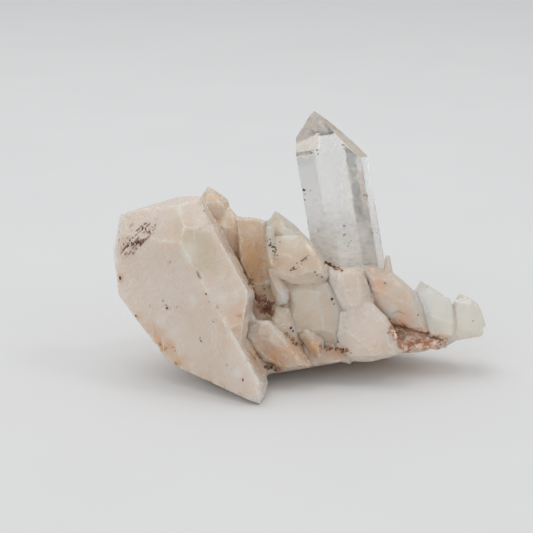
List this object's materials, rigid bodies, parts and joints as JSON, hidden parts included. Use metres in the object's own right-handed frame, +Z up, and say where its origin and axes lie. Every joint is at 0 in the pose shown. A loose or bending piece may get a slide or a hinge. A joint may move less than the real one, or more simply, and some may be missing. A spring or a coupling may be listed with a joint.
{
  "type": "quartz crystal cluster",
  "caption": "Cluster of intergrown quartz points: a tall clear point rising behind a large leaning milky crystal, with stained stubby crystals on a rough brown matrix.",
  "frame": {"origin": "centre of the bounding box, on the floor the cluster rests on", "axes": "+Z up, +X to the right of the pictured side, -Y toward the viewer of the pictured side"},
  "size_m": [0.078, 0.046, 0.0522],
  "materials": {
    "clear_quartz": "clear, glassy, with milky veils low down",
    "milky_quartz": "milky, translucent, softly glossy crystal faces",
    "stained_quartz": "translucent, stained beige to orange brown, glossy faces",
    "pink_quartz": "translucent, pale orange pink, glossy faces",
    "iron_stained_matrix": "rough, matt, iron brown"
  },
  "bodies": {
    "root": {"tall_clear_crystal": "clear_quartz", "left_milky_crystal": "milky_quartz", "centre_crystal": "stained_quartz", "pink_crystal": "pink_quartz", "front_milky_crystal": "milky_quartz", "right_clear_crystals": "clear_quartz", "front_stub_crystals": "stained_quartz", "back_left_crystals": "stained_quartz", "rear_left_crystal": "milky_quartz", "rear_middle_crystal": "stained_quartz", "rear_right_crystal": "milky_quartz", "rear_low_left_crystal": "milky_quartz", "rear_low_right_crystal": "milky_quartz", "rear_small_crystal": "milky_quartz", "iron_stained_matrix": "iron_stained_matrix"}
  },
  "joints": []
}
